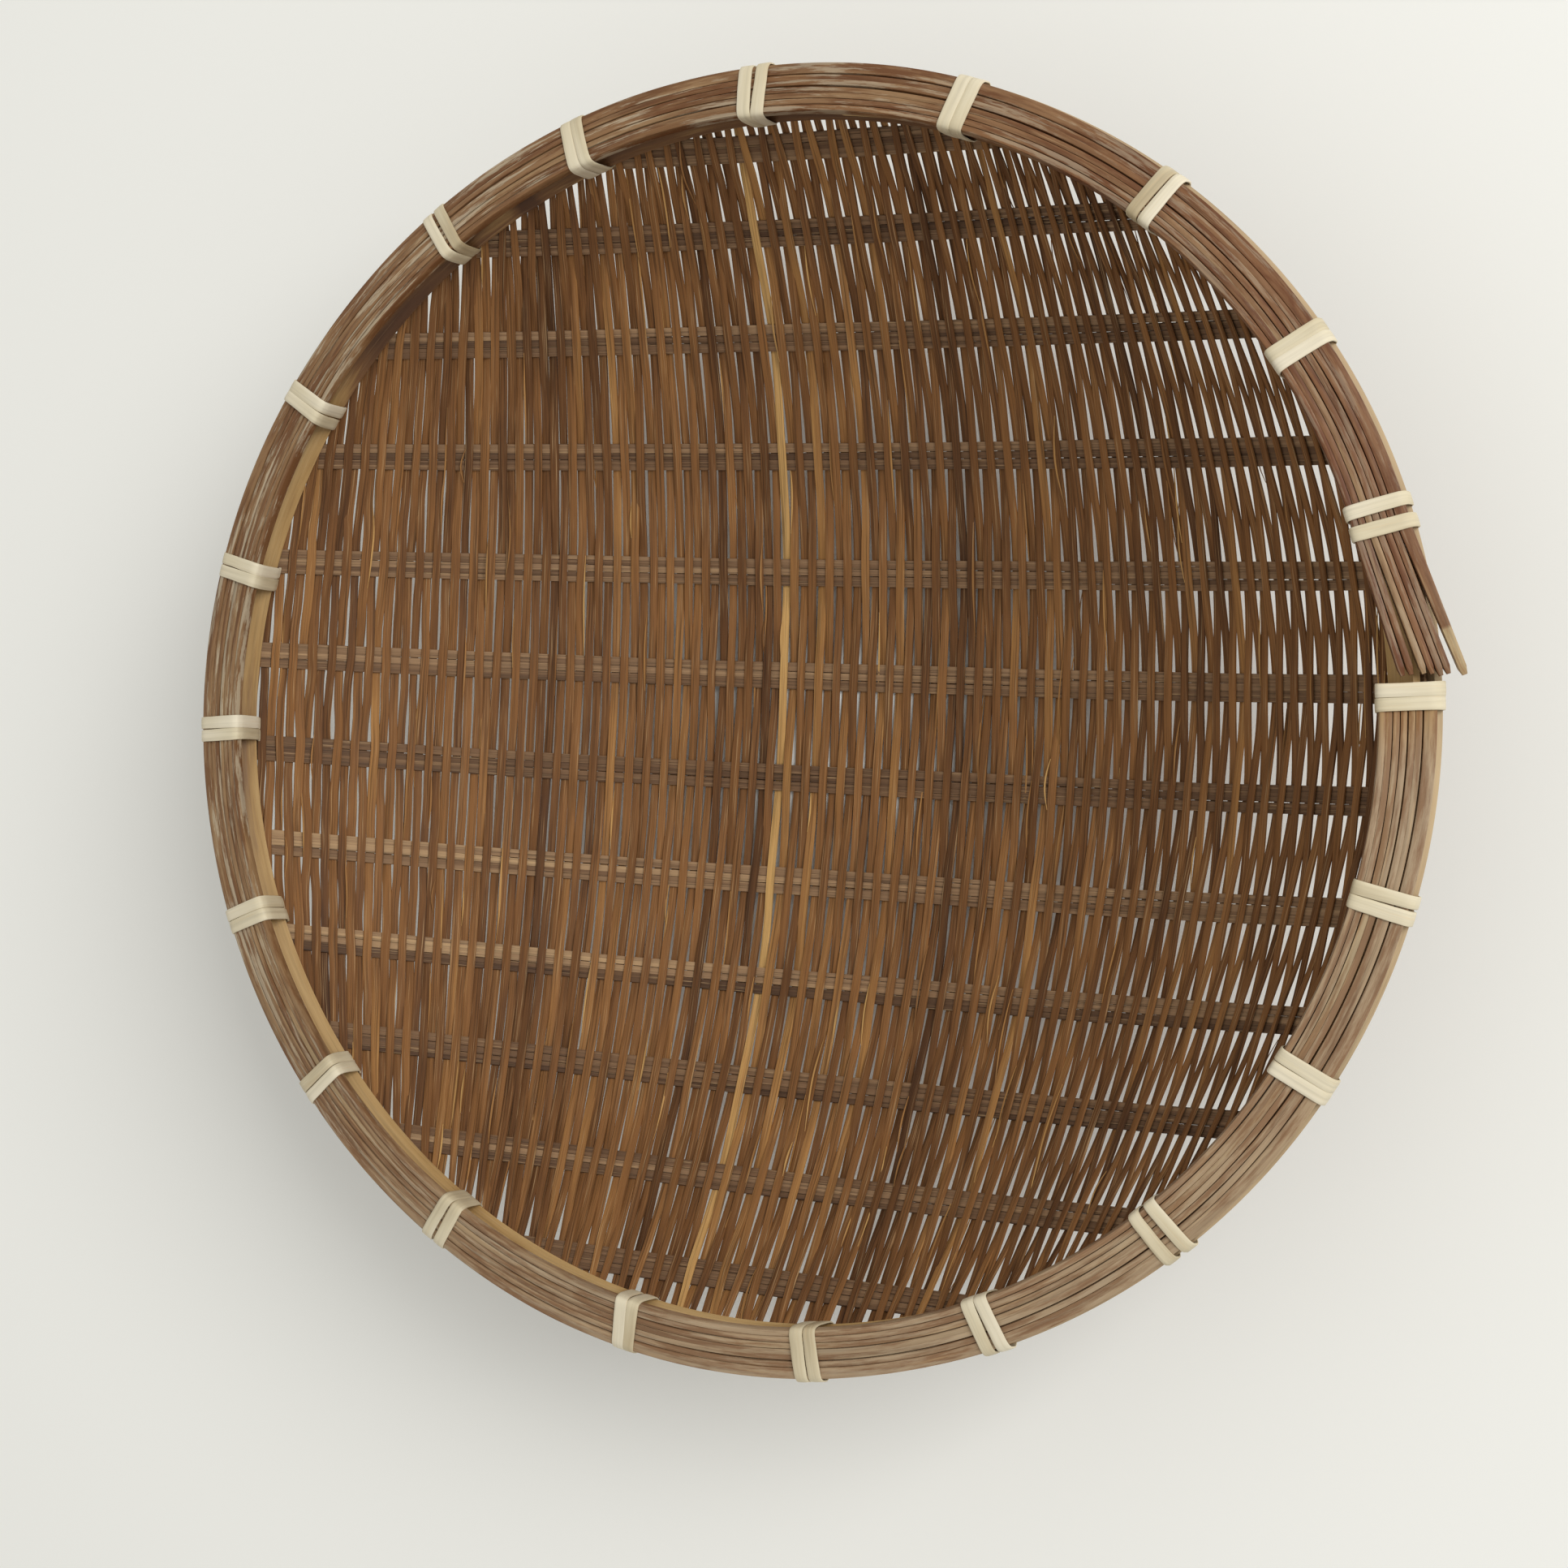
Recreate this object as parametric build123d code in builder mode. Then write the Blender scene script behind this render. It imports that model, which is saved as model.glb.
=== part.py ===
from build123d import *
from math import atan2, cos, degrees, hypot, pi, radians, sin, tan
import os

# Round winnowing basket, in millimetres: a shallow woven bowl clamped at its rim between
# two hoops, capped with a bundle of splints and tied all round with cane lashings.
# +Z is up, the bowl rests on z = 0, and its axis of symmetry is the Z axis.

# ---- Driving dimensions ------------------------------------------------------------

# bowl: the middle surface of the weave, z = bowl_depth * (r / bowl_radius) ** bowl_power
bowl_radius = 198.0
bowl_depth = 91.0
bowl_power = 2.6

# long strips of the weave, which run along Y
strip_width = 2.8
strip_thickness = 0.7
strip_pitch = 3.2
strip_gap = 0.25  # least gap kept between neighbours where they crowd together
strips_per_node = 10

# cross ribs, which run along X; each is a row of narrow splints laid side by side
rib_thickness = 0.8
rib_splints = (3.4, 2.2, 3.0)
rib_splint_gap = 0.25
weave_clearance = 0.12  # left between a strip and the rib that it crosses

# places of the cross ribs, as shares of the way from the middle of the bowl to its edge
rib_places = (0.88, 0.75, 0.59, 0.41, 0.235, 0.078, -0.078, -0.235, -0.39, -0.545, -0.70, -0.855)

# how far the ends of the outer strips are drawn in, for each quarter of the bowl
draw_right_back = 0.45
draw_right_front = 0.40
draw_left = 0.30

# edge of the weave
weave_edge = 4.6  # the middle line of each piece stops this far below the edge of that surface
side_margin = 17.0  # no strip lies nearer to that edge than this at the middle of its length

# hoops, flat bands that lie against the wall; heights are measured along the wall
hoop_clearance = 0.18
inner_hoop_height = 11.8
inner_hoop_thickness = 3.0
inner_hoop_drop = 4.5  # from the edge of the middle surface to the hoop's top
outer_hoop_height = 9.5
outer_hoop_thickness = 3.2
outer_hoop_drop = 2.5
hoop_joint = 0.6  # width of the butt joint, which hides under a lashing

# splints that cap the rim, from the innermost to the outermost
splint_widths = (1.9, 1.9, 1.9, 1.9, 1.9, 1.9, 3.8)
splint_height = 3.0
splint_gap = 0.06
splint_corner = 0.45
rim_tilt = 12.0  # the cap slopes down outwards
cap_inset = 7.7  # from the edge of the middle surface in to the middle of the cap
cap_clearance = 0.15

# free tail, where the splints leave the rim at a tangent
tail_fans = (2.9, 3.3, 4.9, 5.2, 5.5, 5.8, 8.3)  # degrees outwards, for each splint
tail_margin = 0.8  # left between the tail's ends and the next lashing

# lashings: two turns of flat cane side by side
lashing_angles = (
    93, 73, 53, 35, 19, 4, -13, -29, -47, -65,
    -82, -100, -121, -140, -158, -177, 167, 149, 127, 111,
)
cane_width = 4.4
cane_thickness = 0.8
cane_gap = 0.2
cane_clearance = 0.15
tail_lashing = 4  # the splints leave the rim after this lashing in the list
start_lashing = 5  # and they start under this one


# ---- Bowl surface ------------------------------------------------------------------

weave_rise = rib_thickness / 2 + strip_thickness / 2 + weave_clearance
weave_half = weave_rise + strip_thickness / 2
base_height = weave_half  # lifts the underside of the weave to z = 0

profile_steps = 2000


def bowl_table():
    """Radius and height along the bowl's profile, against the length along it."""
    rows = [(0.0, 0.0, 0.0)]
    for step in range(1, profile_steps + 1):
        radius = bowl_radius * step / profile_steps
        height = bowl_depth * (radius / bowl_radius) ** bowl_power
        length, last_radius, last_height = rows[-1]
        length += hypot(radius - last_radius, height - last_height)
        rows.append((length, radius, height))
    return rows


table = bowl_table()
bowl_reach = table[-1][0]  # from the middle of the bowl to its edge, along the surface


def profile_radius(length):
    """Radius at a length along the profile; past the edge it goes on in a straight line."""
    if length >= bowl_reach:
        return bowl_radius + (length - bowl_reach) * cos(wall_angle(bowl_radius))
    low, high = 0, profile_steps
    while high - low > 1:
        middle = (low + high) // 2
        if table[middle][0] > length:
            high = middle
        else:
            low = middle
    share = (length - table[low][0]) / (table[high][0] - table[low][0])
    return table[low][1] + share * (table[high][1] - table[low][1])


def wall_angle(radius):
    """Slope of the wall at a radius, in radians from level."""
    share = min(radius / bowl_radius, 1.0)
    return atan2(bowl_depth * bowl_power * share ** (bowl_power - 1), bowl_radius)


def bowl_height(radius):
    share = min(radius / bowl_radius, 1.0)
    past = max(radius - bowl_radius, 0.0)
    return base_height + bowl_depth * share**bowl_power + past * tan(wall_angle(bowl_radius))


def wall_point(length, lift=0.0):
    """(radius, height) at a length along the profile, lifted off it towards the inside."""
    radius = profile_radius(length)
    angle = wall_angle(radius)
    return radius - lift * sin(angle), bowl_height(radius) + lift * cos(angle)


# ---- Weave net: flat coordinates laid over the bowl ----------------------------------


def blend(value, width=40.0):
    """Smooth step from 0 to 1 about zero."""
    return 1 / (1 + 2.718281828 ** (-value / width))


def net_point(across, along):
    """Point of the middle surface for flat coordinates of the mat before it was pressed."""
    right, back = blend(across), blend(along)
    drawn_right = draw_right_back * back + draw_right_front * (1 - back)
    drawn = draw_left * (1 - right) + drawn_right * right
    side = abs(across) / bowl_reach
    shifted = across * (1 - drawn * side * (along / bowl_reach) ** 2)
    flat_radius = hypot(shifted, along)
    radius = profile_radius(flat_radius)
    scale = radius / flat_radius if flat_radius > 1e-6 else 1.0
    return Vector(shifted * scale, along * scale, bowl_height(radius)), flat_radius


def surface_normal(point):
    """Unit normal of the bowl, on its inner side."""
    radius = hypot(point.X, point.Y)
    angle = wall_angle(radius)
    if radius < 1e-6:
        return Vector(0, 0, 1)
    lean = -sin(angle) / radius
    return Vector(point.X * lean, point.Y * lean, cos(angle))


def frame_at(across, along, toward, lift):
    """Plane square to a woven piece, and how far the net is spread or crowded there.

    toward is the flat direction in which the piece runs. The spread is the net's spacing
    over its flat spacing, so that crowded pieces can be made narrower and never touch.
    """
    step = 0.5
    point, _ = net_point(across, along)
    ahead, _ = net_point(across + step * toward[0], along + step * toward[1])
    behind, _ = net_point(across - step * toward[0], along - step * toward[1])
    beside, _ = net_point(across + step * toward[1], along + step * toward[0])
    normal = surface_normal(point)
    run = (ahead - behind).normalized()
    run = (run - normal * run.dot(normal)).normalized()
    cross = run.cross(normal)
    spread = abs((beside - point).dot(cross)) / step
    return Plane(point + normal * lift, x_dir=cross, z_dir=run), spread


def woven_piece(frames, thickness):
    """A thin strip lofted through rectangles that stand on the given planes."""
    with BuildPart() as piece:
        for plane, width in frames:
            with BuildSketch(plane):
                Rectangle(width, thickness)
        loft()
    return piece.part.solid()


# ---- Cross ribs ----------------------------------------------------------------------

rib_lines = [place * bowl_reach for place in rib_places]
edge_length = bowl_reach - weave_edge


def reach_along(start, direction):
    """How far a line of the net runs from a starting place before it meets the edge."""
    low, high = 0.0, 1.6 * bowl_reach
    while high - low > 0.01:
        middle = (low + high) / 2
        across = start[0] + direction[0] * middle
        along = start[1] + direction[1] * middle
        if net_point(across, along)[1] < edge_length:
            low = middle
        else:
            high = middle
    return low


def rib_solids(line):
    """The splints of one cross rib, laid side by side."""
    solids = []
    full = sum(rib_splints) + rib_splint_gap * (len(rib_splints) - 1)
    edge = line - full / 2
    for width in rib_splints:
        along = edge + width / 2
        edge += width + rib_splint_gap
        right = reach_along((0, along), (1, 0))
        left = reach_along((0, along), (-1, 0))
        count = max(6, int((left + right) / 22))
        frames = []
        for step in range(count + 1):
            across = -left + (left + right) * step / count
            plane, spread = frame_at(across, along, (1, 0), 0.0)
            frames.append((plane, width * spread))
        solids.append(woven_piece(frames, rib_thickness))
    return solids


# ---- Long strips ---------------------------------------------------------------------


def weave_phase(along):
    """Rib count at a place along a strip: whole numbers fall on the ribs."""
    lines = rib_lines
    if along >= lines[0]:
        return (lines[0] - along) / (lines[0] - lines[1])
    for number in range(len(lines) - 1):
        if along >= lines[number + 1]:
            return number + (lines[number] - along) / (lines[number] - lines[number + 1])
    return len(lines) - 1 + (lines[-1] - along) / (lines[-2] - lines[-1])


def strip_stations(back, front):
    """Places along a strip for its sections: four to each gap between ribs."""
    gaps = [(a - b) / 4 for a, b in zip(rib_lines, rib_lines[1:])]
    places = []
    for line, quarter in zip(rib_lines, gaps + gaps[-1:]):
        places += [line - quarter * part for part in range(4)]
    top, low = rib_lines[0], rib_lines[-1] - 3 * gaps[-1]
    places += [top + gaps[0] * part for part in range(1, 12)]
    places += [low - gaps[-1] * part for part in range(1, 12)]
    spare = 3.0  # a station nearer to an end than this is left out
    inside = sorted(p for p in places if -front + spare < p < back - spare)
    return [-front] + inside + [back]


def strip_solid(number):
    """One long strip, which goes over one rib and under the next."""
    across = number * strip_pitch
    back = reach_along((across, 0), (0, 1))
    front = reach_along((across, 0), (0, -1))
    side = 1 if number % 2 else -1
    frames = []
    for along in strip_stations(back, front):
        lift = side * weave_rise * cos(pi * weave_phase(along))
        plane, spread = frame_at(across, along, (0, 1), lift)
        frames.append((plane, min(strip_width, strip_pitch * spread - strip_gap)))
    return woven_piece(frames, strip_thickness)


side_strips = int((bowl_reach - side_margin) / strip_pitch)
strip_numbers = list(range(-side_strips, side_strips + 1))

# ---- Section planes of the rim -------------------------------------------------------


def section_plane(angle):
    """Upright plane through the axis; local X is the radius and local Y the height."""
    turn = radians(angle)
    return Plane(origin=(0, 0, 0), x_dir=(cos(turn), sin(turn), 0), z_dir=(sin(turn), -cos(turn), 0))


# ---- Hoops -----------------------------------------------------------------------------

near_wall = weave_half + hoop_clearance
inner_far = near_wall + inner_hoop_thickness
outer_far = near_wall + outer_hoop_thickness
inner_top = bowl_reach - inner_hoop_drop
inner_bottom = inner_top - inner_hoop_height
outer_top = bowl_reach - outer_hoop_drop
outer_bottom = outer_top - outer_hoop_height


def hoop_corners(bottom, top, near, far):
    return [wall_point(bottom, near), wall_point(top, near), wall_point(top, far), wall_point(bottom, far)]


def make_hoop(corners, joint_angle):
    """A band bent right round the wall, its ends butted at one lashing."""
    gap = degrees(hoop_joint / bowl_radius)
    with BuildPart() as band:
        with BuildSketch(section_plane(joint_angle + gap / 2)):
            with BuildLine():
                Polyline(*corners, close=True)
            make_face()
        revolve(axis=Axis.Z, revolution_arc=360 - gap)
    return band.part


inner_corners = hoop_corners(inner_bottom, inner_top, near_wall, inner_far)
outer_corners = hoop_corners(outer_bottom, outer_top, -near_wall, -outer_far)
inner_hoop = make_hoop(inner_corners, lashing_angles[0])
outer_hoop = make_hoop(outer_corners, lashing_angles[11])

# ---- Cap of splints on the rim -----------------------------------------------------------

cap_centre_radius = bowl_radius - cap_inset
slope = tan(radians(rim_tilt))
along_cap = (cos(radians(rim_tilt)), -sin(radians(rim_tilt)))
off_cap = (sin(radians(rim_tilt)), cos(radians(rim_tilt)))
end_length = edge_length + max(strip_width, *rib_splints) / 2  # corners of the slanting ends
strip_ends = [wall_point(end_length, weave_half), wall_point(end_length, -weave_half)]
below_cap = inner_corners + outer_corners + strip_ends
cap_height = max(z + (r - cap_centre_radius) * slope for r, z in below_cap) + cap_clearance


def cap_point(along, above):
    """(radius, height) of a point on the sloping cap, from the middle of its underside."""
    radius = cap_centre_radius + along * along_cap[0] + above * off_cap[0]
    return radius, cap_height + along * along_cap[1] + above * off_cap[1]


cap_width = sum(splint_widths) + splint_gap * (len(splint_widths) - 1)
lashing_half = cane_width + cane_gap / 2  # half of what a lashing covers along the rim
lashing_turn = degrees(lashing_half / cap_centre_radius)
tail_angle = lashing_angles[tail_lashing] - lashing_turn - degrees(tail_margin / cap_centre_radius)
start_angle = lashing_angles[start_lashing] + lashing_turn / 2


def tail_length(radius, fan):
    """From the splint's leaving the rim to just short of the lashing that it points at."""
    leave, lashing = radians(tail_angle), radians(lashing_angles[start_lashing])
    run = (sin(leave + fan), -cos(leave + fan))
    height = radius * sin(leave - lashing)
    fall = run[0] * sin(lashing) - run[1] * cos(lashing)
    return (height - lashing_half - tail_margin) / fall


def make_splint(number):
    """One splint of the cap: nearly a full turn round the rim, then a straight free tail."""
    width = splint_widths[number]
    middle = sum(splint_widths[:number]) + number * splint_gap + width / 2 - cap_width / 2
    centre = cap_point(middle, splint_height / 2)
    fan = radians(tail_fans[number])
    leave = radians(tail_angle)
    with BuildPart() as splint:
        with BuildSketch(section_plane(tail_angle)) as section:
            with Locations(centre):
                RectangleRounded(width, splint_height, splint_corner, rotation=-rim_tilt)
        revolve(axis=Axis.Z, revolution_arc=360 - (tail_angle - start_angle))
        run = (sin(leave + fan), -cos(leave + fan), 0)
        extrude(section.sketch, amount=tail_length(centre[0], fan), dir=run)
    return splint.part


# ---- Lashings ------------------------------------------------------------------------------


def moved_out(points, distance):
    """An open line of points moved sideways, to its left, with mitred corners."""
    sides = []
    for (x0, y0), (x1, y1) in zip(points, points[1:]):
        length = hypot(x1 - x0, y1 - y0)
        sides.append((-(y1 - y0) / length, (x1 - x0) / length))
    result = []
    for number, (x, y) in enumerate(points):
        before = sides[max(number - 1, 0)]
        after = sides[min(number, len(sides) - 1)]
        scale = distance / (1 + before[0] * after[0] + before[1] * after[1])
        result.append((x + (before[0] + after[0]) * scale, y + (before[1] + after[1]) * scale))
    return result


cane_route = [
    wall_point(inner_bottom, near_wall),
    inner_corners[3],
    cap_point(-cap_width / 2, 0),
    cap_point(-cap_width / 2, splint_height),
    cap_point(cap_width / 2, splint_height),
    outer_corners[2],
    outer_corners[3],
    wall_point(outer_bottom, -near_wall),
]


def make_lashing(angle):
    """Two turns of cane over the rim, each tucked against the weave below both hoops."""
    inside = moved_out(cane_route, cane_clearance)
    outside = moved_out(cane_route, cane_clearance + cane_thickness)
    side = (cane_width + cane_gap) / 2
    with BuildPart() as lashing:
        for offset in (-side, side):
            with BuildSketch(section_plane(angle).offset(offset)):
                with BuildLine():
                    Polyline(*inside, *reversed(outside), close=True)
                make_face()
            extrude(amount=cane_width / 2, both=True)
    return lashing.part


# ---- Export --------------------------------------------------------------------------------

os.makedirs("parts", exist_ok=True)


def save(part, label):
    part.label = label
    export_step(part, f"parts/{label}.step")


save(inner_hoop, "inner_hoop")
save(outer_hoop, "outer_hoop")
for number in range(len(splint_widths)):
    save(make_splint(number), f"rim_splint_{number + 1}")
for number, angle in enumerate(lashing_angles):
    save(make_lashing(angle), f"lashing_{number + 1:02d}")
for number, line in enumerate(rib_lines):
    save(Compound(children=rib_solids(line)), f"cross_rib_{number + 1:02d}")
for first in range(0, len(strip_numbers), strips_per_node):
    group = [strip_solid(number) for number in strip_numbers[first : first + strips_per_node]]
    save(Compound(children=group), f"long_strips_{first // strips_per_node + 1:02d}")
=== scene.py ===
from math import cos, degrees, pi, radians, sin

import bpy
import numpy as np
from mathutils import Matrix, Vector


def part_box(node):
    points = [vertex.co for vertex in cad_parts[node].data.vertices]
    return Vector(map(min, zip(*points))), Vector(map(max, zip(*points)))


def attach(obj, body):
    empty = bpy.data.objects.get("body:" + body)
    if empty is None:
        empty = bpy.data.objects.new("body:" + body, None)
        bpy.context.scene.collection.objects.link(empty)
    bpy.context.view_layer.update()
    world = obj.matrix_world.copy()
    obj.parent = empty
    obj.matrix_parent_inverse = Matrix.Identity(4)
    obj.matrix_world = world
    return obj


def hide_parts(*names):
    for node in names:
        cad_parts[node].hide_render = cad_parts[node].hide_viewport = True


# Looks of the woven winnowing basket. Metres, +Z up, the bowl rests on the floor at z = 0.
# Every strip, splint, hoop and wrap of cane is a swept mesh laid over the CAD piece that it
# stands for, with procedural plant-fibre materials that follow its grain.

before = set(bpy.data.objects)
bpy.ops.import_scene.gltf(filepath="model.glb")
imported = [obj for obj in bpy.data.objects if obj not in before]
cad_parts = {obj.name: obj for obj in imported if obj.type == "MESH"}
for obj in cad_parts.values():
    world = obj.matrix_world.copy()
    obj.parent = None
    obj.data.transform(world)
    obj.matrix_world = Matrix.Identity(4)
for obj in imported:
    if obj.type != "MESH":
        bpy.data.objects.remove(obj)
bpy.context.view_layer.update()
rng = np.random.default_rng(20)

# ---- Sizes shared with the CAD ------------------------------------------------------------

BOWL_RADIUS, BOWL_DEPTH, BOWL_POWER = 0.198, 0.091, 2.6
STRIP_WIDTH, STRIP_THICK, STRIP_PITCH = 0.0028, 0.0007, 0.0032
STRIPS_PER_NODE, SIDE_STRIPS = 10, 65
RIB_THICK, RIB_SPLINTS, RIB_GAP = 0.0008, (0.0034, 0.0022, 0.0030), 0.00025
RIB_PLACES = (0.88, 0.75, 0.59, 0.41, 0.235, 0.078, -0.078, -0.235, -0.39, -0.545, -0.70, -0.855)
DRAW_RIGHT_BACK, DRAW_RIGHT_FRONT, DRAW_LEFT, DRAW_BLEND = 0.45, 0.40, 0.30, 0.040
WEAVE_EDGE, WEAVE_RISE, WEAVE_HALF = 0.0046, 0.00087, 0.00122
NEAR_WALL = 0.0014
INNER_HOOP = {"height": 0.0118, "thick": 0.0030, "drop": 0.0045}
OUTER_HOOP = {"height": 0.0095, "thick": 0.0032, "drop": 0.0025}
SPLINTS, SPLINT_HEIGHT, SPLINT_GAP = (0.0019,) * 6 + (0.0038,), 0.0030, 0.00006
RIM_TILT, CAP_INSET = radians(12), 0.0077
LASHINGS = (93, 73, 53, 35, 19, 4, -13, -29, -47, -65, -82, -100, -121, -140, -158, -177, 167, 149, 127, 111)
SPREAD_LASHINGS = (19, -47)
TAIL_LASHING, START_LASHING = 19, 4
CANE_WIDTH, CANE_THICK, CANE_GAP = 0.0044, 0.0008, 0.0002
CANE_SHRINK = 0.90  # dried cane is a little narrower than the CAD's

# ---- Bowl and weave net ----------------------------------------------------------------------

radii = np.linspace(0, BOWL_RADIUS, 4001)
arc_steps = np.hypot(np.diff(radii), np.diff(BOWL_DEPTH * (radii / BOWL_RADIUS) ** BOWL_POWER))
arc = np.concatenate(([0.0], np.cumsum(arc_steps)))
REACH = float(arc[-1])


def wall_angle(radius):
    share = np.minimum(radius / BOWL_RADIUS, 1.0)
    return np.arctan(BOWL_DEPTH * BOWL_POWER * share ** (BOWL_POWER - 1) / BOWL_RADIUS)


def profile_radius(length):
    past = np.maximum(length - REACH, 0.0)
    return np.interp(length, arc, radii) + past * np.cos(wall_angle(BOWL_RADIUS))


def bowl_height(radius):
    share = np.minimum(radius / BOWL_RADIUS, 1.0)
    past = np.maximum(radius - BOWL_RADIUS, 0.0)
    return WEAVE_HALF + BOWL_DEPTH * share**BOWL_POWER + past * np.tan(wall_angle(BOWL_RADIUS))


def wall_point(length, lift=0.0):
    """(radius, height) at a length up the wall, lifted off it towards the inside."""
    radius = float(profile_radius(length))
    angle = float(wall_angle(radius))
    return radius - lift * sin(angle), float(bowl_height(radius)) + lift * cos(angle)


def blend(value):
    return 1 / (1 + np.exp(-value / DRAW_BLEND))


def net_points(across, along):
    """Points of the bowl's middle surface for flat coordinates of the mat."""
    right, back = blend(across), blend(along)
    drawn_right = DRAW_RIGHT_BACK * back + DRAW_RIGHT_FRONT * (1 - back)
    drawn = DRAW_LEFT * (1 - right) + drawn_right * right
    shifted = across * (1 - drawn * np.abs(across) / REACH * (along / REACH) ** 2)
    flat = np.maximum(np.hypot(shifted, along), 1e-9)
    radius = profile_radius(flat)
    return np.stack((shifted * radius / flat, along * radius / flat, bowl_height(radius)), axis=-1), flat


def surface_normals(points):
    radius = np.maximum(np.hypot(points[:, 0], points[:, 1]), 1e-9)
    angle = wall_angle(radius)
    lean = -np.sin(angle) / radius
    return np.stack((points[:, 0] * lean, points[:, 1] * lean, np.cos(angle)), axis=-1)


def reach_along(start, direction):
    """How far a line of the net runs before it meets the edge of the weave."""
    steps = np.linspace(0, 1.5 * REACH, 3000)
    _, flat = net_points(start[0] + direction[0] * steps, start[1] + direction[1] * steps)
    return float(steps[np.argmax(flat >= REACH - WEAVE_EDGE)])


def unit(vectors):
    return vectors / np.linalg.norm(vectors, axis=-1, keepdims=True)


def drift(length, wavelength, size):
    """Smooth random wander of about the given size, drawn afresh on each call."""
    phases = rng.uniform(0, 2 * pi, 3)
    turn = 2 * pi * np.asarray(length) / wavelength
    waves = np.sin(turn + phases[0])
    waves = waves + 0.6 * np.sin(1.7 * turn + phases[1]) + 0.4 * np.sin(3.1 * turn + phases[2])
    return size * waves / 1.3


# ---- Swept meshes ------------------------------------------------------------------------------

# outlines of the swept sections, as shares of half the width and half the thickness
FLAT_SECTION = ((-1, 0.2), (-0.95, 0.8), (-0.55, 1.0), (0, 1.05), (0.55, 1.0), (0.95, 0.8),
                (1, 0.2), (0.95, -0.8), (0, -1.0), (-0.95, -0.8))
CANE_SECTION = ((-1, -0.6), (-0.99, 0.35), (-0.9, 0.80), (-0.45, 0.96), (0, 1.0), (0.45, 0.96), (0.9, 0.80),
                (0.99, 0.35), (1, -0.6), (0.5, -1.0), (-0.5, -1.0))
SPLINT_SECTION = ((-1, 0.70), (-0.93, 0.93), (-0.6, 1.0), (0, 1.01), (0.6, 1.0), (0.93, 0.93), (1, 0.70),
                  (1, -0.8), (0.8, -1.0), (-0.8, -1.0), (-1, -0.8))


class Pile:
    """Swept pieces gathered into one mesh, each vertex carrying its grain, tone and place."""

    def __init__(self):
        self.verts, self.faces, self.grain, self.tone, self.place = [], [], [], [], []
        self.count = 0

    def sweep(self, points, sides, normals, widths, thicks, section, tone, place=None, closed=False):
        """Sweeps a section given as shares of half the width and half the thickness."""
        shape = np.array(section, float)
        rings, size = len(points), len(shape)
        across = shape[None, :, 0] * np.broadcast_to(widths, rings)[:, None] / 2
        above = shape[None, :, 1] * np.broadcast_to(thicks, rings)[:, None] / 2
        verts = points[:, None] + sides[:, None] * across[..., None] + normals[:, None] * above[..., None]
        steps = np.linalg.norm(np.diff(points, axis=0), axis=1)
        run = np.concatenate(([0.0], np.cumsum(steps)))
        seed = rng.uniform(0, 100)
        grain = np.stack((np.broadcast_to(run[:, None], across.shape), across + above * 0.5,
                          np.full(across.shape, seed)), axis=-1)
        ring = np.arange(rings if closed else rings - 1)
        spot = np.arange(size)
        low = self.count + ring[:, None] * size
        high = self.count + ((ring + 1) % rings)[:, None] * size
        after = (spot + 1) % size
        faces = np.stack((low + spot, low + after, high + after, high + spot), axis=-1)
        self.faces += faces.reshape(-1, 4).tolist()
        if not closed:
            self.faces.append([self.count + i for i in range(size)][::-1])
            self.faces.append([self.count + (rings - 1) * size + i for i in range(size)])
        self.verts.append(verts.reshape(-1, 3))
        self.grain.append(grain.reshape(-1, 3))
        self.tone.append(np.repeat(np.broadcast_to(tone, rings), size))
        self.place.append(np.repeat(np.broadcast_to(0.0 if place is None else place, rings), size))
        self.count += rings * size

    def build(self, name, material, nodes):
        """Makes the object that stands for the CAD nodes and rides on the basket's one body."""
        mesh = bpy.data.meshes.new(name)
        mesh.from_pydata(np.concatenate(self.verts).tolist(), [], self.faces)
        for label, kind, field, rows in (("grain", "FLOAT_VECTOR", "vector", self.grain),
                                         ("tone", "FLOAT", "value", self.tone),
                                         ("place", "FLOAT", "value", self.place)):
            layer = mesh.attributes.new(label, kind, "POINT")
            layer.data.foreach_set(field, np.concatenate(rows).astype(np.float32).ravel())
        mesh.polygons.foreach_set("use_smooth", np.ones(len(mesh.polygons), bool))
        mesh.set_sharp_from_angle(angle=radians(50))
        mesh.materials.append(material)
        piece = bpy.data.objects.new(name, mesh)
        bpy.context.scene.collection.objects.link(piece)
        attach(piece, "root")
        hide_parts(*nodes)
        return piece


# ---- Materials -----------------------------------------------------------------------------------


def tint(red, green, blue):
    """Scene colour of an sRGB value out of 255."""
    shares = [value / 255 for value in (red, green, blue)]
    return tuple(s / 12.92 if s <= 0.04045 else ((s + 0.055) / 1.055) ** 2.4 for s in shares) + (1.0,)


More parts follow.
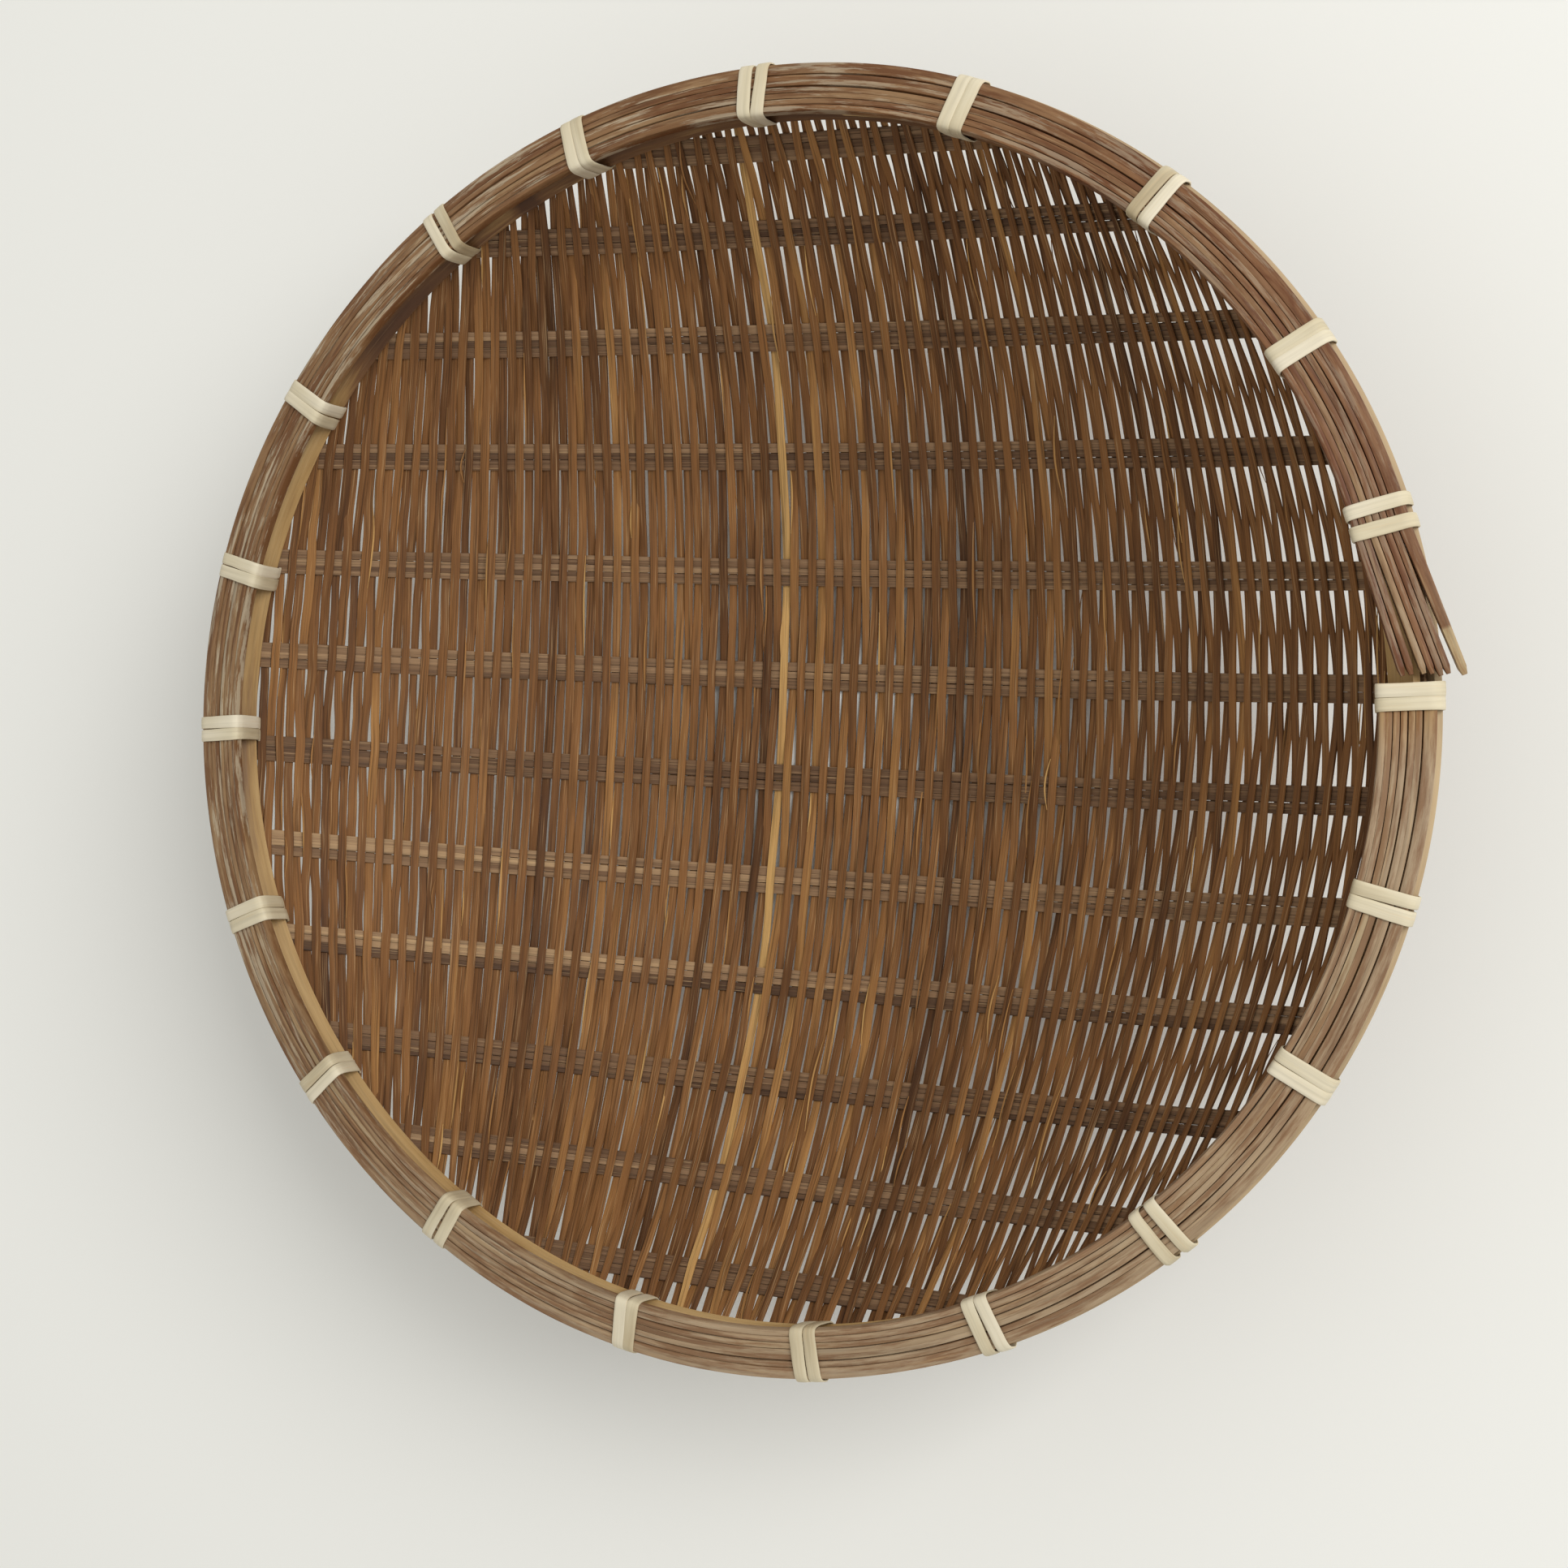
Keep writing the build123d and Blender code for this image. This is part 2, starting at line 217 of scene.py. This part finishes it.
class Shader:
    """Short names for the nodes that the plant-fibre materials are made of."""

    def __init__(self, name):
        self.material = bpy.data.materials.new(name)
        self.material.use_nodes = True
        self.tree = self.material.node_tree
        self.surface = self.tree.nodes["Principled BSDF"]

    def feed(self, socket, value):
        if isinstance(value, bpy.types.NodeSocket):
            self.tree.links.new(value, socket)
        else:
            socket.default_value = value

    def attribute(self, name):
        node = self.tree.nodes.new("ShaderNodeAttribute")
        node.attribute_name = name
        return node.outputs["Vector"] if name == "grain" else node.outputs["Fac"]

    def scaled(self, vector, along, across, seed=1.0):
        node = self.tree.nodes.new("ShaderNodeVectorMath")
        node.operation = "MULTIPLY"
        self.feed(node.inputs[0], vector)
        node.inputs[1].default_value = (along, across, seed)
        return node.outputs["Vector"]

    def noise(self, vector, scale=1.0, detail=3.0, roughness=0.55):
        node = self.tree.nodes.new("ShaderNodeTexNoise")
        self.feed(node.inputs["Vector"], vector)
        node.inputs["Scale"].default_value = scale
        node.inputs["Detail"].default_value = detail
        node.inputs["Roughness"].default_value = roughness
        return node.outputs["Fac"]

    def ramp(self, value, stops):
        node = self.tree.nodes.new("ShaderNodeValToRGB")
        points = node.color_ramp.elements
        while len(points) < len(stops):
            points.new(0.5)
        for point, (place, colour) in zip(points, stops):
            point.position = place
            point.color = colour if isinstance(colour, tuple) else (colour, colour, colour, 1.0)
        self.feed(node.inputs["Fac"], value)
        return node.outputs["Color"]

    def mix(self, share, first, second, way="MIX"):
        node = self.tree.nodes.new("ShaderNodeMix")
        node.data_type = "RGBA"
        node.blend_type = way
        self.feed(node.inputs[0], share)
        self.feed(node.inputs[6], first)
        self.feed(node.inputs[7], second)
        return node.outputs[2]

    def maths(self, way, first, second):
        node = self.tree.nodes.new("ShaderNodeMath")
        node.operation = way
        self.feed(node.inputs[0], first)
        self.feed(node.inputs[1], second)
        return node.outputs[0]

    def finish(self, colour, rough, height, depth, coat=0.0):
        self.feed(self.surface.inputs["Base Color"], colour)
        self.feed(self.surface.inputs["Roughness"], rough)
        self.surface.inputs["Specular IOR Level"].default_value = 0.22
        self.surface.inputs["Coat Weight"].default_value = coat
        self.surface.inputs["Coat Roughness"].default_value = 0.35
        bump = self.tree.nodes.new("ShaderNodeBump")
        bump.inputs["Strength"].default_value = 0.7
        bump.inputs["Distance"].default_value = depth
        self.feed(bump.inputs["Height"], height)
        self.tree.links.new(bump.outputs["Normal"], self.surface.inputs["Normal"])
        return self.material


# how far the rim's bark has peeled, from the start of the splints to their tail
PEELED_PLACES = ((0.0, 0.10), (0.30, 0.25), (0.50, 0.70), (0.74, 0.65), (0.86, 0.35), (0.97, 0.25))


def weathered(s, base, grain, tone, rim_places):
    """Bark whose colour changes along the rim, stained and peeled in patches."""
    place = s.attribute("place")
    base = s.mix(s.ramp(tone, ((0.0, 0.86), (1.0, 0.15))), base, s.ramp(place, rim_places))
    stains = s.noise(s.scaled(grain, 26, 240), detail=6.0, roughness=0.7)
    stains = s.ramp(stains, ((0.44, 0.0), (0.56, 1.0)))
    stained = s.mix(1.0, base, tint(176, 132, 92), "MULTIPLY")
    base = s.mix(s.maths("MULTIPLY", stains, 0.65), base, stained)
    peeled = s.noise(s.scaled(grain, 30, 400, 3.0), detail=7.0, roughness=0.72)
    peeled = s.ramp(peeled, ((0.52, 0.0), (0.58, 1.0)))
    return s.mix(s.maths("MULTIPLY", peeled, s.ramp(place, PEELED_PLACES)), base, tint(188, 174, 148))


def fibre(name, tones, streak=0.8, rough=0.68, depth=0.00022, coat=0.0, rim_places=None, blotch=0.35,
          fine=1900, fleck=0.25):
    """Split plant fibre: a tone for each piece, long streaks, blotches and fine ridges.

    streak is the strength of the dark streaks and fleck that of the pale ones, fine is how
    close they lie, and blotch is how far the tone varies along a piece.
    """
    s = Shader(name)
    grain = s.attribute("grain")
    tone = s.attribute("tone")
    streaks = s.noise(s.scaled(grain, 22, fine), detail=5.0, roughness=0.62)
    lines = s.noise(s.scaled(grain, 40, fine * 1.7), detail=2.0)
    patches = s.noise(s.scaled(grain, 14, 160), detail=4.0, roughness=0.65)
    varied = s.maths("MULTIPLY", s.maths("SUBTRACT", patches, 0.5), blotch * 1.6)
    base = s.ramp(s.maths("ADD", tone, varied), tones)
    if rim_places:
        base = weathered(s, base, grain, tone, rim_places)
    dark = s.ramp(streaks, ((0.32, 0.30), (0.50, 0.90), (0.66, 1.0)))
    colour = s.mix(streak, base, s.mix(1.0, base, dark, "MULTIPLY"))
    pale = s.ramp(lines, ((0.60, 0.0), (0.74, 1.0)))
    colour = s.mix(s.maths("MULTIPLY", pale, fleck), colour, tint(205, 172, 126))
    height = s.maths("ADD", s.maths("MULTIPLY", streaks, 0.8), s.maths("MULTIPLY", lines, 0.4))
    roughness = s.ramp(patches, ((0.3, rough - 0.1), (0.7, rough + 0.12)))
    return s.finish(colour, roughness, height, depth, coat)


def make_materials():
    strip_tones = ((0.0, tint(80, 51, 28)), (0.25, tint(112, 74, 41)), (0.55, tint(141, 97, 55)),
                   (0.80, tint(168, 122, 70)), (1.0, tint(198, 156, 96)))
    rib_tones = ((0.0, tint(78, 55, 38)), (0.4, tint(116, 87, 62)), (0.75, tint(150, 119, 88)),
                 (1.0, tint(180, 148, 110)))
    straw_tones = ((0.0, tint(84, 56, 36)), (0.22, tint(112, 78, 48)), (0.45, tint(168, 134, 84)),
                   (1.0, tint(206, 176, 126)))
    tan_tones = ((0.0, tint(108, 78, 52)), (0.5, tint(158, 130, 98)), (1.0, tint(196, 174, 138)))
    rim_tones = ((0.0, tint(92, 66, 46)), (0.5, tint(132, 104, 76)), (1.0, tint(186, 164, 124)))
    # colours round the rim, clockwise from the start of the splints to their tail
    rim_places = ((0.0, tint(184, 140, 72)), (0.018, tint(186, 164, 134)), (0.28, tint(188, 164, 132)),
                  (0.45, tint(156, 124, 86)), (0.60, tint(144, 108, 70)), (0.82, tint(134, 92, 54)),
                  (0.97, tint(128, 80, 46)))
    cane_tones = ((0.0, tint(176, 158, 124)), (0.5, tint(210, 198, 168)), (1.0, tint(224, 214, 190)))
    return {
        "long_strip": fibre("long_strip", strip_tones, streak=0.9, depth=0.0003, blotch=0.55, fleck=0.5),
        "cross_rib": fibre("cross_rib", rib_tones, depth=0.0003, blotch=0.45, fleck=0.45),
        "inner_hoop": fibre("inner_hoop", straw_tones, streak=0.3, rough=0.5, coat=0.08, blotch=0.7,
                            fine=900),
        "outer_hoop": fibre("outer_hoop", tan_tones, streak=0.4, rough=0.55, blotch=0.6, fine=900),
        "rim_splint": fibre("rim_splint", rim_tones, streak=0.4, rough=0.55, coat=0.06,
                            rim_places=rim_places, fine=600),
        "cane": fibre("cane", cane_tones, streak=0.2, rough=0.55, depth=0.0001, coat=0.05, blotch=0.8,
                      fine=900),
    }


materials = make_materials()

# ---- Weave --------------------------------------------------------------------------------------

rib_lines = np.array(RIB_PLACES) * REACH
STRIP_STATION, RIB_STATION = 0.0021, 0.0030  # between a woven piece's rings
PAIR_LEAN = 0.00095  # how far the strips' ends lean towards a neighbour
LEFT_WANDER = 0.00024  # the strips at the left lie less evenly
SLIPS, SLIVERS = 1.6, 1.3  # to a strip, on average
# tones of the golden strips, by their number from the middle
GOLDEN_STRIPS = {-8: 0.98, -7: 0.66, -4: 0.72, 1: 0.66, 22: 0.7}


def weave_phase(along):
    """Rib count along a strip: whole numbers fall on the ribs."""
    inside = np.interp(-along, -rib_lines, np.arange(len(rib_lines)))
    before = np.minimum((rib_lines[0] - along) / (rib_lines[0] - rib_lines[1]), 0)
    after = np.maximum((rib_lines[-1] - along) / (rib_lines[-2] - rib_lines[-1]), 0)
    return inside + before + after


def long_strip(pile, number):
    """One long strip, over one rib and under the next, wandering a little from its line."""
    across = number * STRIP_PITCH
    back, front = reach_along((across, 0), (0, 1)), reach_along((across, 0), (0, -1))
    along = np.linspace(-front, back, int((front + back) / STRIP_STATION))
    wander = drift(along, 0.19, 0.00018) + drift(along, 0.07, 0.00008)
    wander = wander + drift(along, 0.055, LEFT_WANDER) * float(np.clip((-across / REACH - 0.55) / 0.2, 0, 1))
    _, flat = net_points(across + wander, along)
    past_ribs = np.clip((flat / REACH - 0.85) / 0.08, 0, 1) * np.clip(np.abs(along) / REACH * 4 - 2, 0, 1)
    wander = wander + PAIR_LEAN * (1 if number % 4 in (0, 3) else -1) * past_ribs  # ends lean in pairs
    for _ in range(rng.poisson(SLIPS)):  # places where it has slipped sideways and left a slit
        middle, length = rng.uniform(-front, back), rng.uniform(0.012, 0.030)
        wander = wander + rng.normal(0, 0.00032) * np.exp(-(((along - middle) / length) ** 2))
    points, _ = net_points(across + wander, along)
    normals = surface_normals(points)
    run = np.gradient(points, axis=0)
    run = unit(run - normals * np.sum(run * normals, axis=1, keepdims=True))
    sides = np.cross(run, normals)
    beside, _ = net_points(across + wander + 0.0005, along)
    room = STRIP_PITCH * np.abs(np.sum((beside - points) * sides, axis=1)) / 0.0005
    width = STRIP_WIDTH * rng.uniform(0.97, 1.12) * (1 + drift(along, 0.11, 0.035)) * (1 - 0.28 * past_ribs)
    width = np.minimum(width, np.maximum(room * 1.16, 0.0016))
    roll = np.clip((width / room - 0.88) * 1.5, 0, 0.34) + drift(along, 0.12, 0.05)
    sides, tilted = (sides * np.cos(roll)[:, None] + normals * np.sin(roll)[:, None],
                     normals * np.cos(roll)[:, None] - sides * np.sin(roll)[:, None])
    side = 1 if number % 2 else -1
    points = points + normals * (side * WEAVE_RISE * np.cos(pi * weave_phase(along)))[:, None]
    tone = GOLDEN_STRIPS.get(number, float(np.clip(rng.normal(0.40, 0.12), 0.12, 0.74)))
    pile.sweep(points, sides, tilted, width, STRIP_THICK, FLAT_SECTION, tone + drift(along, 0.3, 0.05))
    return points, sides, tilted, width, tone


def loose_fibre(pile, strip):
    """A sliver that has split off a strip's edge and lifts a little."""
    points, sides, normals, width, tone = strip
    count = rng.integers(7, 20)
    start = rng.integers(4, len(points) - count - 4)
    span = slice(start, start + count)
    share = np.linspace(0, 1, count)
    edge = rng.choice((-1, 1)) * 0.42
    lift = np.sin(pi * share) * rng.uniform(0.0003, 0.0012) + STRIP_THICK * 0.55
    bend = np.sin(pi * share) * rng.normal(0, 0.0005)
    path = points[span] + normals[span] * lift[:, None] + sides[span] * (edge * width[span] + bend)[:, None]
    wide = 0.00055 * np.sin(pi * np.clip(share, 0.06, 0.94)) + 0.00008
    pile.sweep(path, sides[span], normals[span], wide, 0.00016, FLAT_SECTION, min(tone + 0.42, 1.0))


strip_numbers = list(range(-SIDE_STRIPS, SIDE_STRIPS + 1))
extra_strips = (-SIDE_STRIPS - 1, SIDE_STRIPS + 1)  # drawn with the outermost groups
for first in range(0, len(strip_numbers), STRIPS_PER_NODE):
    pile = Pile()
    group = strip_numbers[first : first + STRIPS_PER_NODE]
    ends = (group[0], group[-1])
    group += [extra for extra in extra_strips if min(abs(extra - end) for end in ends) < 2]
    strips = [long_strip(pile, number) for number in group]
    for strip in strips:
        for _ in range(rng.poisson(SLIVERS)):
            loose_fibre(pile, strip)
    node = f"long_strips_{first // STRIPS_PER_NODE + 1:02d}"
    pile.build(f"{node}_woven", materials["long_strip"], [node])

# tones of the pale splints, by the number of their rib and their place in it
PALE_RIB_SPLINTS = {(5, 1): 0.85, (7, 1): 1.0, (8, 2): 0.95, (8, 1): 0.8, (2, 2): 0.75}


def rib_splint(pile, along, width, tone):
    """One splint of a cross rib, which lies between the strips that go over and under it."""
    right, left = reach_along((0, along), (1, 0)), reach_along((0, along), (-1, 0))
    across = np.linspace(-left, right, int((left + right) / RIB_STATION))
    places = along + drift(across, 0.22, 0.00012)
    points, _ = net_points(across, places)
    normals = surface_normals(points)
    run = np.gradient(points, axis=0)
    run = unit(run - normals * np.sum(run * normals, axis=1, keepdims=True))
    sides = np.cross(run, normals)
    # pale splints are darkened over the right half of the bowl, whose right wall lies in shade: painted shade
    tones = tone + drift(across, 0.25, 0.06) - max(tone - 0.6, 0) * blend(across + 0.05)
    pile.sweep(points, sides, normals, width * (1 + drift(across, 0.1, 0.03)), RIB_THICK, FLAT_SECTION, tones)


for number, line in enumerate(rib_lines):
    pile = Pile()
    edge = line - (sum(RIB_SPLINTS) + RIB_GAP * (len(RIB_SPLINTS) - 1)) / 2
    for order, width in enumerate(RIB_SPLINTS):
        tone = PALE_RIB_SPLINTS.get((number, order), float(np.clip(rng.normal(0.42, 0.13), 0.1, 0.8)))
        halves = (0.52, 0.48) if order != 1 else (1.0,)  # the wide splints are split once more
        for share in halves:
            rib_splint(pile, edge + width * share / 2, width * share + 0.00012, tone + rng.normal(0, 0.06))
            edge += width * share
        edge += RIB_GAP
    node = f"cross_rib_{number + 1:02d}"
    pile.build(f"{node}_splints", materials["cross_rib"], [node])

# ---- Rim: hoops, cap of splints and free tail ----------------------------------------------------

KNOTS = (119, -101)  # degrees, where the inner hoop's cane had its joints
HOOP_TIP, TIP_SPAN = 88, 16  # degrees, the inner hoop's tapered end and how much of it shows
DARK_MIDDLE, DARK_HALF, DARK_EDGE = 106, 46, 12  # degrees, the inner hoop's stretch of dark bark


def around(angle, radius, height):
    """Points, sides pointing outwards and upward normals along a circle at the given angles."""
    turn = np.radians(angle)
    ring = np.stack((np.cos(turn), np.sin(turn), np.zeros_like(turn)), axis=-1)
    points = ring * np.broadcast_to(radius, turn.shape)[:, None]
    points[:, 2] = height
    return points, ring


def hoop(name, size, side, start, knots, material, tone):
    """A bent band against the wall, with its ends butted under a lashing."""
    angle = np.linspace(start + 0.1, start + 359.9, 620)
    top = REACH - size["drop"]
    middle = top - size["height"] / 2
    radius, height = wall_point(middle, side * (NEAR_WALL + size["thick"] / 2))
    slant = float(wall_angle(profile_radius(middle)))
    points, ring = around(angle, radius + drift(angle, 360, 0.00025), height + drift(angle, 180, 0.0002))
    up = np.array((0.0, 0.0, 1.0))
    along_wall = ring * cos(slant) + up * sin(slant)
    inwards = (-ring * sin(slant) + up * cos(slant)) * side
    thick = np.full(len(angle), size["thick"] * 0.97)
    # the outer band is painted paler on its right side, which faces the lamp, and darker on its left: painted
    # light and shade
    tones = tone + drift(angle, 140, 0.10) + (0.35 * np.cos(np.radians(angle)) if side < 0 else 0.0)
    if side > 0:  # the inner band is dark bark along the back of the basket
        from_middle = (angle - DARK_MIDDLE + 180) % 360 - 180
        tones = tones - 0.45 * np.clip((DARK_HALF - np.abs(from_middle)) / DARK_EDGE, 0, 1)
    for knot in knots:
        away = (angle - knot + 180) % 360 - 180
        thick = thick + 0.0006 * np.exp(-((away / 0.9) ** 2)) - 0.0005 * np.exp(-(((away - 1.6) / 0.5) ** 2))
        tones = tones - 0.5 * np.exp(-((away / 1.1) ** 2))
    pile = Pile()
    pile.sweep(points, along_wall, inwards, size["height"], thick, FLAT_SECTION, tones)
    if knots:  # the tapered tip where the band's outer end lies over the inner one
        span = np.linspace(HOOP_TIP - TIP_SPAN, HOOP_TIP, 60)
        radius, height = wall_point(middle + 0.0006, side * (NEAR_WALL + size["thick"] * 0.9))
        points, ring = around(span, radius, height)
        taper = np.clip((HOOP_TIP - span) / 3.0, 0.15, 1.0)
        pile.sweep(points, ring * cos(slant) + up * sin(slant), (-ring * sin(slant) + up * cos(slant)) * side,
                   size["height"] * 0.8 * taper, size["thick"] * 0.5, FLAT_SECTION, tone + 0.15)
    return pile.build(f"{name}_band", materials[material], [name])


hoop("inner_hoop", INNER_HOOP, 1, LASHINGS[0], KNOTS, "inner_hoop", 0.55)
hoop("outer_hoop", OUTER_HOOP, -1, LASHINGS[11], (), "outer_hoop", 0.45)

TAIL_MARGIN = 0.0008  # from the last lashing to where the splints leave the rim
SPLINT_SHRINK = 0.955  # dried splints leave thin dark gaps
TAIL_TAPER = 0.4  # of the outermost splint's width, lost along the tail
PEELED_RINGS = 14  # of the outermost splint, whose tip has lost its bark

cap_radius = BOWL_RADIUS - CAP_INSET
cap_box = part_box("rim_splint_4")
cap_width = sum(SPLINTS) + SPLINT_GAP * (len(SPLINTS) - 1)
# the middle splint's middle lies on the cap's own middle radius, bar half the wide splint's surplus
splint_offset = sum(SPLINTS[:3]) + 3 * SPLINT_GAP + SPLINTS[3] / 2 - cap_width / 2
cap_height = (
    (cap_box[0][2] + cap_box[1][2]) / 2 + splint_offset * sin(RIM_TILT) - SPLINT_HEIGHT / 2 * cos(RIM_TILT)
)
lashing_half = CANE_WIDTH + CANE_GAP / 2
lashing_turn = degrees(lashing_half / cap_radius)
tail_angle = TAIL_LASHING - lashing_turn - degrees(TAIL_MARGIN / cap_radius)
start_angle = START_LASHING + lashing_turn / 2
TAIL_FAN = tuple(radians(degree) for degree in (2.7, 3.1, 5.0, 5.1, 5.2, 5.3, 6.6))


def cap_point(along, above):
    """(radius, height) on the sloping cap, from the middle of its underside."""
    radius = cap_radius + along * cos(RIM_TILT) + above * sin(RIM_TILT)
    return radius, cap_height - along * sin(RIM_TILT) + above * cos(RIM_TILT)


def cap_splint(pile, number):
    """One splint, clockwise round the rim from under a lashing and off it in a straight tail."""
    width = SPLINTS[number]
    middle = sum(SPLINTS[:number]) + number * SPLINT_GAP + width / 2 - cap_width / 2
    angle = np.linspace(start_angle + 360, tail_angle, 640)
    radius, height = cap_point(middle, SPLINT_HEIGHT / 2)
    sway = drift(angle, 150, 0.00018) + drift(angle, 41, 0.00005)
    rise = drift(angle, 120, 0.00014)
    ease = np.clip((angle - tail_angle) / 12, 0, 1)
    points, ring = around(angle, radius + sway * ease, height + rise * ease)
    fan = radians(tail_angle) + TAIL_FAN[number]
    heading = np.array((sin(fan), -cos(fan), 0.0))
    lash = radians(START_LASHING)
    gap = radius * sin(radians(tail_angle) - lash) - lashing_half
    length = gap / (heading[0] * sin(lash) - heading[1] * cos(lash)) - 0.0006 - rng.uniform(0, 0.0012)
    steps = np.linspace(0, length, 40)[1:]
    tail = points[-1] + steps[:, None] * heading
    turned = np.linspace(0, 1, len(steps))[:, None] * (np.array((-heading[1], heading[0], 0.0)) - ring[-1])
    ring = np.concatenate((ring, unit(ring[-1] + turned)))
    points = np.concatenate((points, tail))
    up = np.array((0.0, 0.0, 1.0))
    sides = ring * cos(RIM_TILT) - up * sin(RIM_TILT)
    normals = ring * sin(RIM_TILT) + up * cos(RIM_TILT)
    ending = np.concatenate((np.ones(len(angle)), np.clip((length - steps) / 0.0016, 0.35, 1)))
    share = (start_angle + 360 - angle) / (start_angle + 360 - tail_angle)
    share = np.concatenate((share, np.ones(len(steps))))
    tones = np.clip(rng.normal(0.42, 0.12) + drift(share, 0.3, 0.10), 0.05, 0.85)
    if number == len(SPLINTS) - 1:  # its bark has peeled off near the tip
        tones = np.where(np.arange(len(points)) > len(points) - PEELED_RINGS, 1.0, tones)
    widths = width * SPLINT_SHRINK * (0.4 + 0.6 * ending)
    if number == len(SPLINTS) - 1:  # and it tapers along the tail
        widths = widths * np.concatenate((np.ones(len(angle)), 1 - TAIL_TAPER * steps / length))
    pile.sweep(points, sides, normals, widths, SPLINT_HEIGHT * ending, SPLINT_SECTION, tones, place=share)


for number in range(len(SPLINTS)):
    pile = Pile()
    cap_splint(pile, number)
    node = f"rim_splint_{number + 1}"
    pile.build(f"{node}_bark", materials["rim_splint"], [node])

# ---- Lashings -----------------------------------------------------------------------------------


def rounded(points, times=3, cut=0.17):
    """A closed line with its corners cut again and again."""
    for _ in range(times):
        after = np.roll(points, -1, axis=0)
        points = np.stack((points * (1 - cut) + after * cut, points * cut + after * (1 - cut)), axis=1)
        points = points.reshape(-1, 2)
    return points


def cane_loop():
    """Closed route of a wrap of cane in the (radius, height) plane, clear of what it ties."""
    inner_top, outer_top = REACH - INNER_HOOP["drop"], REACH - OUTER_HOOP["drop"]
    inner_low, outer_low = inner_top - INNER_HOOP["height"], outer_top - OUTER_HOOP["height"]
    inner_far, outer_far = NEAR_WALL + INNER_HOOP["thick"], NEAR_WALL + OUTER_HOOP["thick"]
    corners = np.array([
        wall_point(inner_low - 0.0004, NEAR_WALL), wall_point(inner_low, inner_far),
        cap_point(-cap_width / 2, 0), cap_point(-cap_width / 2, SPLINT_HEIGHT),
        cap_point(0, SPLINT_HEIGHT + 0.0002), cap_point(cap_width / 2, SPLINT_HEIGHT),
        wall_point(outer_top, -outer_far), wall_point(outer_low, -outer_far),
        wall_point(outer_low - 0.0004, -NEAR_WALL), wall_point(inner_low - 0.0016, 0)])
    return rounded(corners)


loop = cane_loop()
loop_run = unit(np.roll(loop, -1, axis=0) - np.roll(loop, 1, axis=0))
loop_out = np.stack((-loop_run[:, 1], loop_run[:, 0]), axis=-1)
loop_share = np.linspace(0, 2 * pi, len(loop), endpoint=False)


def wrap(pile, angle, offset):
    """One turn of flat cane round the rim, a little slanted and uneven."""
    turn = radians(angle)
    ring, round_rim = np.array((cos(turn), sin(turn), 0.0)), np.array((-sin(turn), cos(turn), 0.0))
    up = np.array((0.0, 0.0, 1.0))
    swell = 0.00050 + 0.00010 * np.sin(loop_share + rng.uniform(0, 6))
    flat = loop + loop_out * swell[:, None]
    slant = rng.normal(0, 0.00035) * np.cos(loop_share) + rng.normal(0, 0.00025) * np.sin(loop_share)
    points = flat[:, :1] * ring + flat[:, 1:] * up + (offset + slant)[:, None] * round_rim
    normals = loop_out[:, :1] * ring + loop_out[:, 1:] * up
    sides = np.broadcast_to(round_rim, points.shape)
    width = CANE_WIDTH * CANE_SHRINK * rng.uniform(0.96, 1.04)
    width = width * (1 + 0.04 * np.sin(2 * loop_share + rng.uniform(0, 6)))
    tone = 0.55 + 0.25 * np.sin(loop_share + rng.uniform(0, 6)) + rng.normal(0, 0.1)
    pile.sweep(points, sides, normals, width, CANE_THICK * 0.8, CANE_SECTION, tone, closed=True)


for number, angle in enumerate(LASHINGS):
    pile = Pile()
    spread = 0.0008 if angle in SPREAD_LASHINGS else 0.0
    for side in (-1, 1):
        wrap(pile, angle, side * ((CANE_WIDTH * CANE_SHRINK + CANE_GAP) / 2 + spread))
    node = f"lashing_{number + 1:02d}"
    pile.build(f"{node}_cane", materials["cane"], [node])

# ---- Floor, light and camera ------------------------------------------------------------------------

FLOOR_REACH = 4.0

def make_floor():
    s = Shader("floor_paper")
    s.surface.inputs["Base Color"].default_value = tint(238, 238, 233)
    s.surface.inputs["Roughness"].default_value = 0.9
    s.surface.inputs["Specular IOR Level"].default_value = 0.1
    mesh = bpy.data.meshes.new("floor")
    reach = FLOOR_REACH
    corners = [(-reach, -reach, 0), (reach, -reach, 0), (reach, reach, 0), (-reach, reach, 0)]
    mesh.from_pydata(corners, [], [(0, 1, 2, 3)])
    mesh.materials.append(s.material)
    floor = bpy.data.objects.new("floor", mesh)
    bpy.context.scene.collection.objects.link(floor)


def make_light(name, place, size, power):
    """A square soft box that faces the basket."""
    light = bpy.data.lights.new(name, "AREA")
    light.size, light.energy = size, power
    lamp = bpy.data.objects.new(name, light)
    lamp.location = place
    lamp.rotation_euler = (Vector((0, 0, 0.04)) - Vector(place)).to_track_quat("-Z", "Y").to_euler()
    bpy.context.scene.collection.objects.link(lamp)


def make_world(strength):
    world = bpy.data.worlds.new("studio")
    world.use_nodes = True
    background = world.node_tree.nodes["Background"]
    background.inputs["Color"].default_value = (1.0, 0.99, 0.96, 1.0)
    background.inputs["Strength"].default_value = strength
    bpy.context.scene.world = world


def make_camera():
    """Looks down on the basket from its right-hand side."""
    data = bpy.data.cameras.new("camera")
    data.sensor_width = 36
    data.angle = radians(39.67)
    camera = bpy.data.objects.new("camera", data)
    back = Vector((0.350, 0.008, 0.937)).normalized()
    up = Vector((-0.047, 0.999, 0.009))
    right = up.cross(back).normalized()
    up = back.cross(right)
    turn = Matrix((right, up, back)).transposed().to_4x4()
    camera.matrix_world = Matrix.Translation((0.2395, -0.0138, 0.7070)) @ turn
    bpy.context.scene.collection.objects.link(camera)
    bpy.context.scene.camera = camera


make_floor()
make_light("key", (1.9, 0.95, 1.95), 1.6, 50)
make_world(0.64)
make_camera()
bpy.context.scene.view_settings.view_transform = "Standard"
